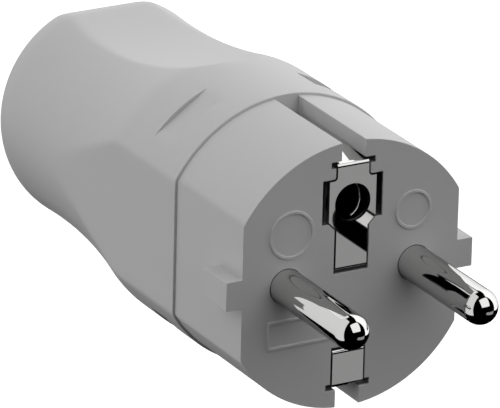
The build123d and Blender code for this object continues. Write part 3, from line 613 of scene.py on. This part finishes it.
def lip_arc(points, size):
    """The lip's ring set on a slant, with its ends sunk in the wall.

    Each point moves out from the axis by the lip's height and sink times a smooth step of its angle from the
    middle, and along the axis by the slant times its place across the bore."""
    across = points - (0.0, 0.0, SOCKET_LEVEL)
    across[:, 1] = 0.0
    turn = np.arctan2(across[:, 2], across[:, 0]) - size.middle
    turn = np.abs(np.arctan2(np.sin(turn), np.cos(turn)))
    sunk = smooth_step(turn, size.reach, size.reach + size.fade) * (size.height + size.sink)
    out = across / np.linalg.norm(across, axis=1, keepdims=True)
    moved = points + out * sunk[:, None]
    moved[:, 1] += across @ np.array(size.slant)
    return moved


def pin_profile(size):
    """The pin from its tip to its bore's floor: a quarter circle of the shank's radius, then straight runs.

    At each place along the plug, the radius steps from one run's to the next one's."""
    turn = np.linspace(0, np.pi / 2, NOSE_STEPS)
    nose = size.tip + size.radius
    round_nose = np.stack([nose - size.radius * np.cos(turn), size.radius * np.sin(turn)], axis=-1)
    bore_floor = size.pillar_end - size.bore_depth
    places = [size.root_front, size.collar_front, size.collar_back, size.pillar_end, bore_floor]
    radii = [size.radius, size.root, size.collar, size.pillar, size.bore, 0.0]
    runs = np.stack([np.repeat(places, 2), np.repeat(radii, 2)[1:-1]], axis=-1)
    return np.concatenate([round_nose, runs])


def add_node(tree, kind, inputs, **settings):
    """The outputs of a new shader node, whose inputs are linked to sockets or set to values."""
    node = tree.nodes.new(kind)
    for name, value in settings.items():
        setattr(node, name, value)
    for name, value in inputs.items():
        if isinstance(value, bpy.types.NodeSocket):
            tree.links.new(value, node.inputs[name])
        else:
            node.inputs[name].default_value = value
    return node.outputs


def math_node(tree, operation, first, second):
    """A math node on two sockets or numbers."""
    return add_node(tree, "ShaderNodeMath", {0: first, 1: second}, operation=operation)["Value"]


def noise(tree, place, texture):
    """A noise texture at a place, with its scale, detail and roughness."""
    return add_node(tree, "ShaderNodeTexNoise", {"Vector": place, **texture})["Fac"]


def remap(tree, value, low, high):
    """Maps a value from nought to one onto a range."""
    return add_node(tree, "ShaderNodeMapRange", {"Value": value, "To Min": low, "To Max": high})["Result"]


def scaled(tree, tint, factor):
    """A colour times a factor."""
    return add_node(tree, "ShaderNodeVectorMath", {0: tint, "Scale": factor}, operation="SCALE")["Vector"]


def new_material(name):
    """A material with an empty node tree, and that tree."""
    material = bpy.data.materials.new(name)
    material.use_nodes = True
    material.node_tree.nodes.clear()
    return material, material.node_tree


def add_shader(tree, inputs):
    """Wires a Principled shader with its inputs to a new output."""
    shader = add_node(tree, "ShaderNodeBsdfPrincipled", inputs)
    add_node(tree, "ShaderNodeOutputMaterial", {"Surface": shader["BSDF"]})


# Sockets of a surface's node group, by their kinds
SURFACE_SOCKETS = {
    "INPUT": {"Vector": "NodeSocketVector", "Colour": "NodeSocketColor", "Roughness": "NodeSocketFloat"},
    "OUTPUT": {"Colour": "NodeSocketColor", "Roughness": "NodeSocketFloat", "Height": "NodeSocketFloat"},
}

# Surfaces: the stretch of the grain, the grain and the clouds as noise, the ranges by which the clouds scale
# colour and roughness, and how metallic and glossy the surface is
MOULDED = {
    "name": "Moulded surface",
    "stretch": (1.0, 1.0, 1.0),
    "grain": {"Scale": 5200.0, "Detail": 3.0, "Roughness": 0.6},
    "cloud": {"Scale": 90.0, "Detail": 4.0, "Roughness": 0.55},
    "tone": (0.975, 1.025),
    "dulling": (0.88, 1.12),
    "metallic": 0.0,
    "specular": 0.3,
}
PLATED = {
    "name": "Plated surface",
    "stretch": (1.0, 14.0, 1.0),
    "grain": {"Scale": 900.0, "Detail": 3.0, "Roughness": 0.6},
    "cloud": {"Scale": 260.0, "Detail": 4.0, "Roughness": 0.6},
    "tone": (0.96, 1.04),
    "dulling": (0.6, 1.4),
    "metallic": 1.0,
    "specular": 0.5,
}

# Finishes: the surface, the name of the colour, the roughness and the depth of the grain
FINISH_KINDS = {
    "grey_plastic": dict(surface=MOULDED, tint="grey_plastic", roughness=0.55, relief=0.004 * MM),
    "inner_plastic": dict(surface=MOULDED, tint="inner_plastic", roughness=0.6, relief=0.006 * MM),
    "nickel": dict(surface=PLATED, tint="nickel", roughness=0.035, relief=0.0002 * MM),
    # Partly painted highlight: the lip, brighter than the nickel
    "bright_lip": dict(surface=PLATED, tint="bright_lip", roughness=0.45, relief=0.0002 * MM),
    # Painted shade: the socket's metal, near black in its bore
    "dull_bore": dict(surface=PLATED, tint="dull_bore", roughness=0.3, relief=0.0002 * MM),
    "zinc_steel": dict(surface=PLATED, tint="zinc", roughness=0.28, relief=0.002 * MM),
    "leaf_brass": dict(surface=PLATED, tint="brass", roughness=0.25, relief=0.002 * MM),
}
FINISH_KINDS["carrier_plastic"] = FINISH_KINDS["grey_plastic"]
FINISH_KINDS["turned_nickel"] = FINISH_KINDS["nickel"]


def surface_group(surface):
    """A shared surface, made once: fine grain for the height, and broad clouds for colour and roughness."""
    if surface["name"] in bpy.data.node_groups:
        return bpy.data.node_groups[surface["name"]]
    group = bpy.data.node_groups.new(surface["name"], "ShaderNodeTree")
    for side, sockets in SURFACE_SOCKETS.items():
        for name, kind in sockets.items():
            group.interface.new_socket(name=name, in_out=side, socket_type=kind)
    given = group.nodes.new("NodeGroupInput").outputs
    wanted = group.nodes.new("NodeGroupOutput").inputs
    stretch = {"Vector": given["Vector"], "Scale": surface["stretch"]}
    stretched = add_node(group, "ShaderNodeMapping", stretch)["Vector"]
    cloud = noise(group, given["Vector"], surface["cloud"])
    dulling = remap(group, cloud, *surface["dulling"])
    results = {
        "Colour": scaled(group, given["Colour"], remap(group, cloud, *surface["tone"])),
        "Roughness": math_node(group, "MULTIPLY", given["Roughness"], dulling),
        "Height": noise(group, stretched, surface["grain"]),
    }
    for name, result in results.items():
        group.links.new(result, wanted[name])
    return group


def darkened(tree, place, tint, size, kept):
    """A colour with shade painted in the recess around the earth strip: with depth it falls to the share
    kept.
    """
    split = add_node(tree, "ShaderNodeSeparateXYZ", {"Vector": place})
    aside = math_node(tree, "ABSOLUTE", split["X"], 0.0)
    above = math_node(tree, "ABSOLUTE", split["Z"], 0.0)
    limits = ((aside, size.recess_side), (above, size.recess_head), (split["Y"], size.recess_floor))
    # Painted shade: nought at the face and one from its full depth on, only inside the recess
    darkening = add_node(tree, "ShaderNodeMapRange", {"Value": split["Y"], "From Max": size.painted_shade_depth})["Result"]
    for measure, limit in limits:
        darkening = math_node(tree, "MULTIPLY", darkening, math_node(tree, "LESS_THAN", measure, limit))
    unshaded_share = math_node(tree, "SUBTRACT", 1.0, math_node(tree, "MULTIPLY", darkening, 1.0 - kept))
    return scaled(tree, tint, unshaded_share)


def finish_material(finish):
    """A finished material by its name, made once: colour, roughness and bump come from a shared surface."""
    name = finish + "_finish"
    if name in bpy.data.materials:
        return bpy.data.materials[name]
    scene = bpy.context.scene
    finishes = scene.plug_finishes
    kind = FINISH_KINDS[finish]
    surface = kind["surface"]
    material, tree = new_material(name)
    place = add_node(tree, "ShaderNodeTexCoord", {})["Object"]
    tint = (*getattr(finishes, kind["tint"]), 1.0)
    inputs = {"Vector": place, "Colour": tint, "Roughness": kind["roughness"]}
    shared = add_node(tree, "ShaderNodeGroup", inputs, node_tree=surface_group(surface))
    bump = add_node(tree, "ShaderNodeBump", {"Distance": kind["relief"], "Height": shared["Height"]})
    shown = {
        "Base Color": shared["Colour"],
        "Roughness": shared["Roughness"],
        "Normal": bump["Normal"],
        "Metallic": surface["metallic"],
        "Specular IOR Level": surface["specular"],
    }
    if finish == "turned_nickel":
        shown["Specular Tint"] = (*finishes.pin_rim, 1.0)
    # The carrier's colour gets painted shade in its recess
    if finish == "carrier_plastic":
        size, kept = scene.plug_carrier, finishes.painted_recess_shade
        shown["Base Color"] = darkened(tree, place, shared["Colour"], size, kept)
    add_shader(tree, shown)
    return material


def dress_nodes(*names):
    """Gives CAD nodes their finished materials."""
    for name in names:
        frame["nodes"][name].material_slots[0].material = finish_material(SLOTS[name])


class PLUG_OT_rear_hood(bpy.types.Operator):
    """Builds the rear hood with its waist, scoops, flats, notches and cord inlet"""

    bl_idname = "plug.rear_hood"
    bl_label = "Rear Hood"

    def execute(self, context):
        build_hood(context.scene.plug_hood)
        return {"FINISHED"}


class PLUG_OT_contact_carrier(bpy.types.Operator):
    """Rounds the contact carrier's edges, closes its holes on the pins, finishes it and paints shade in its
    recess
    """

    bl_idname = "plug.contact_carrier"
    bl_label = "Contact Carrier"

    def execute(self, context):
        build_carrier(context.scene.plug_carrier, context.scene.plug_pins)
        return {"FINISHED"}


class PLUG_OT_contact_pins(bpy.types.Operator):
    """Builds the two turned contact pins"""

    bl_idname = "plug.contact_pins"
    bl_label = "Contact Pins"

    def execute(self, context):
        size = context.scene.plug_pins
        profile = pin_profile(size)
        for node, side in (("line_pin", -1), ("neutral_pin", 1)):
            points, faces = lathe(profile, side * size.spacing / 2, 0.0, PIN_COLUMNS, ring=False)
            add_piece(grid_mesh(node + "_turned", points, faces), node, "turned_nickel")
        return {"FINISHED"}


class PLUG_OT_earth_contacts(bpy.types.Operator):
    """Finishes the earth strip and the earth socket, whose bore is painted near black as shade, and builds
    the socket's lip, whose bright colour is partly painted highlight
    """

    bl_idname = "plug.earth_contacts"
    bl_label = "Earth Contacts"

    def execute(self, context):
        dress_nodes("earth_strip")
        # The socket's near-black colour is painted shade in its bore
        frame["nodes"]["earth_socket"].material_slots[0].material = finish_material("dull_bore")
        size = context.scene.plug_lip
        points, faces = lathe(lip_profile(size), 0.0, SOCKET_LEVEL, LIP_COLUMNS, ring=True)
        mesh = grid_mesh("earth_socket_lip", lip_arc(points, size), faces)
        # The lip's bright colour is partly painted highlight
        add_detail(mesh, "bright_lip")
        return {"FINISHED"}


class PLUG_OT_inner_parts(bpy.types.Operator):
    """Finishes the terminal plate, the cord clamp, the screws, the nuts and the wire leaves"""

    bl_idname = "plug.inner_parts"
    bl_label = "Inner Parts"

    def execute(self, context):
        dress_nodes(*[name for name, slot in SLOTS.items() if slot in INNER_SLOTS])
        return {"FINISHED"}


# Columns and rows of the tent, and the colour of plain light
TENT_COLUMNS = 72
TENT_ROWS = 37
WHITE = (1.0, 1.0, 1.0, 1.0)


def add_stage(mesh, material):
    """A stage object that gives no light to matt surfaces and throws no shadow."""
    mesh.materials.append(material)
    made = add_object(mesh.name, mesh)
    made.visible_diffuse = False
    made.visible_shadow = False
    return made


def card(name, centre, facing, width, height, material):
    """A flat rectangle that faces a direction, as a stage object: two by two points about its centre."""
    turn = Vector(facing).to_track_quat("Z", "Y")
    across = np.array(turn @ Vector((width / 2, 0, 0)))
    up = np.array(turn @ Vector((0, height / 2, 0)))
    corners = np.array([(-1, -1), (1, -1), (1, 1), (-1, 1)])
    points = np.array(centre) + corners[:, :1] * across + corners[:, 1:] * up
    mesh = bpy.data.meshes.new(name)
    mesh.from_pydata(points.tolist(), [], [(0, 1, 2, 3)])
    return add_stage(mesh, material)


def seen_rays(tree):
    """One for rays from the camera, off a mirror or through glass, and nought for the rest."""
    path = add_node(tree, "ShaderNodeLightPath", {})
    mirrored = math_node(tree, "MAXIMUM", path["Is Glossy Ray"], path["Is Transmission Ray"])
    return math_node(tree, "MAXIMUM", path["Is Camera Ray"], mirrored)


def plain_material(name, shade, glow, seen_only):
    """A matt material of one shade for the studio, with a glow that only seen rays meet where asked."""
    material, tree = new_material(name)
    add_shader(tree, {
        "Base Color": (shade, shade, shade, 1.0),
        "Roughness": 1.0,
        "Specular IOR Level": 0.0,
        "Emission Color": WHITE,
        "Emission Strength": math_node(tree, "MULTIPLY", seen_rays(tree), glow) if seen_only else glow,
    })
    return material


def build_tent(studio, material):
    """A dark tent that only mirrors see, open at the back: points by azimuth and elevation on a sphere.

    It is cut flat over the floor, where the height is the greater of the sphere's and the mat's."""
    azimuth = np.linspace(-np.pi, np.pi, TENT_COLUMNS, endpoint=False)
    elevation = np.linspace(-np.pi / 2, np.pi / 2, TENT_ROWS)[:, None]
    mat = studio.floor_level + studio.tent_above
    across = studio.tent_radius * np.cos(elevation)
    height = np.maximum(studio.tent_radius * np.sin(elevation), mat)
    parts = np.broadcast_arrays(across * np.sin(azimuth), -across * np.cos(azimuth), height)
    faces = closed_faces(TENT_ROWS, TENT_COLUMNS, rows_close=False)
    face_azimuth = azimuth[faces[:, 0] % TENT_COLUMNS] + np.pi / TENT_COLUMNS
    face_elevation = elevation[faces[:, 0] // TENT_COLUMNS, 0] + np.pi / 2 / (TENT_ROWS - 1)
    behind = np.abs(face_azimuth) > studio.window_azimuth
    window = behind & (face_elevation > 0) & (face_elevation < studio.window_head)
    mesh = grid_mesh("dark_tent", np.stack(parts, axis=-1).reshape(-1, 3), faces[~window])
    return add_stage(mesh, material)


def build_world(studio):
    """White for what is seen directly, in plating or through glass, and a soft dome for the rest.

    The dome's light is its level plus the tilt's share along a direction, and never below nought."""
    world = bpy.data.worlds.new("Studio dome")
    bpy.context.scene.world = world
    world.use_nodes = True
    tree = world.node_tree
    tree.nodes.clear()
    place = add_node(tree, "ShaderNodeTexCoord", {})["Generated"]
    slope = {0: place, 1: studio.dome_tilt}
    along = add_node(tree, "ShaderNodeVectorMath", slope, operation="DOT_PRODUCT")["Value"]
    level = math_node(tree, "MAXIMUM", math_node(tree, "ADD", along, studio.dome_level), 0.0)
    dome = add_node(tree, "ShaderNodeBackground", {"Strength": level})["Background"]
    backdrop = add_node(tree, "ShaderNodeBackground", {"Color": WHITE})["Background"]
    mix = add_node(tree, "ShaderNodeMixShader", {"Fac": seen_rays(tree), 1: dome, 2: backdrop})["Shader"]
    add_node(tree, "ShaderNodeOutputWorld", {"Surface": mix})


def heading(azimuth, elevation):
    """The direction at an azimuth to the right of the pins' direction and an elevation above the horizon."""
    level = math.cos(elevation)
    return Vector((math.sin(azimuth) * level, -math.cos(azimuth) * level, math.sin(elevation)))


def build_camera(studio):
    """The camera on the photograph's line of sight: azimuth, elevation, distance from its aim and roll."""
    ahead = -heading(-studio.camera_azimuth, studio.camera_elevation)
    data = bpy.data.cameras.new("Camera")
    data.sensor_width = SENSOR_WIDTH
    data.lens = studio.focal_pixels * SENSOR_WIDTH / PHOTO_WIDTH
    camera = add_object("Camera", data)
    camera.rotation_mode = "QUATERNION"
    roll = Quaternion((0, 0, 1), studio.camera_roll)
    camera.rotation_quaternion = ahead.to_track_quat("-Z", "Y") @ roll
    camera.location = Vector(studio.camera_aim) - studio.camera_distance * ahead
    bpy.context.scene.camera = camera


def panel(name, centre, facing, width, height, radiance):
    """A rectangular light that faces a direction. Its power is its radiance times pi times its area."""
    data = bpy.data.lights.new(name, "AREA")
    data.shape = "RECTANGLE"
    data.size = width
    data.size_y = height
    data.energy = radiance * math.pi * width * height
    light = add_object(name, data)
    light.location = centre
    light.rotation_mode = "QUATERNION"
    light.rotation_quaternion = Vector(facing).to_track_quat("-Z", "Y")
    light.visible_camera = False


def side_panel(studio, side, x):
    """An upright panel at x that faces the plug: the settings of its side give its edges and its light."""
    edges = ("front", "back", "foot", "head", "light")
    front, back, foot, head, radiance = (getattr(studio, f"{side}_{edge}") for edge in edges)
    centre = (x, (back - front) / 2, (foot + head) / 2)
    panel(f"{side}_panel", centre, (-math.copysign(1, x), 0, 0), front + back, head - foot, radiance)


class PLUG_OT_studio(bpy.types.Operator):
    """Builds the camera, the floor, the light panels, and the dark tent and cards that the plating mirrors"""

    bl_idname = "plug.studio"
    bl_label = "Studio"

    def execute(self, context):
        studio = context.scene.plug_studio
        context.scene.view_settings.view_transform = "Standard"
        build_world(studio)
        build_camera(studio)
        reach = 2 * studio.floor_reach
        pale = plain_material("Pale floor", studio.floor_shade, studio.floor_glow, seen_only=True)
        card("floor", (0, 0, studio.floor_level), (0, 0, 1), reach, reach, pale)
        glint = heading(studio.glint_azimuth, studio.glint_elevation)
        glint_place = studio.panel_distance * glint
        grey = plain_material("Grey card", 0.0, studio.glint_light, seen_only=False)
        low = card("low_card", glint_place, -glint, studio.glint_width, studio.glint_height, grey)
        dark = plain_material("Dark cloth", 0.0, 0.0, seen_only=False)
        tent = build_tent(studio, dark)
        flag_along = (studio.flag_front + studio.right_back) / 2
        flag_level = (studio.flag_head + studio.floor_level) / 2
        flag_place = (studio.panel_distance - studio.flag_room, flag_along, flag_level)
        flag_size = (studio.right_back - studio.flag_front, studio.flag_head - studio.floor_level)
        flag = card("rear_flag", flag_place, (-1, 0, 0), *flag_size, dark)
        for mirrored in (low, tent, flag):
            mirrored.visible_camera = False
        side_panel(studio, "left", -studio.panel_distance)
        side_panel(studio, "right", studio.panel_distance)
        front = heading(studio.front_azimuth, studio.front_elevation)
        side = studio.front_side
        panel("front_panel", studio.panel_distance * front, -front, side, side, studio.front_light)
        return {"FINISHED"}


class PLUG_PT_sidebar(bpy.types.Panel):
    """Lists the plug's sizes, finishes and builders"""

    bl_idname = "PLUG_PT_sidebar"
    bl_label = "Grounded Mains Plug"
    bl_space_type = "VIEW_3D"
    bl_region_type = "UI"
    bl_category = "Plug"

    def draw(self, context):
        for operator in OPERATORS:
            self.layout.operator(operator.bl_idname)
        for group in GROUPS:
            box = self.layout.box()
            settings = getattr(context.scene, group)
            for name in settings.__annotations__:
                box.prop(settings, name)


GROUPS = {
    "plug_hood": HoodSizes,
    "plug_pins": PinSizes,
    "plug_carrier": CarrierSizes,
    "plug_lip": LipSizes,
    "plug_finishes": Finishes,
    "plug_studio": StudioSettings,
}
OPERATORS = (
    PLUG_OT_rear_hood,
    PLUG_OT_contact_carrier,
    PLUG_OT_contact_pins,
    PLUG_OT_earth_contacts,
    PLUG_OT_inner_parts,
    PLUG_OT_studio,
)
CLASSES = (*GROUPS.values(), *OPERATORS, PLUG_PT_sidebar)


def register():
    """Adds the classes to Blender and the settings to the scene."""
    for item in CLASSES:
        bpy.utils.register_class(item)
    for name, group in GROUPS.items():
        setattr(bpy.types.Scene, name, PointerProperty(type=group))


def unregister():
    """Takes the settings and the classes out again."""
    for name in GROUPS:
        delattr(bpy.types.Scene, name)
    for item in reversed(CLASSES):
        bpy.utils.unregister_class(item)


def main():
    """Builds the plug and its studio."""
    register()
    bpy.ops.plug.rear_hood()
    bpy.ops.plug.contact_carrier()
    bpy.ops.plug.contact_pins()
    bpy.ops.plug.earth_contacts()
    bpy.ops.plug.inner_parts()
    bpy.ops.plug.studio()


if __name__ == "__main__":
    main()
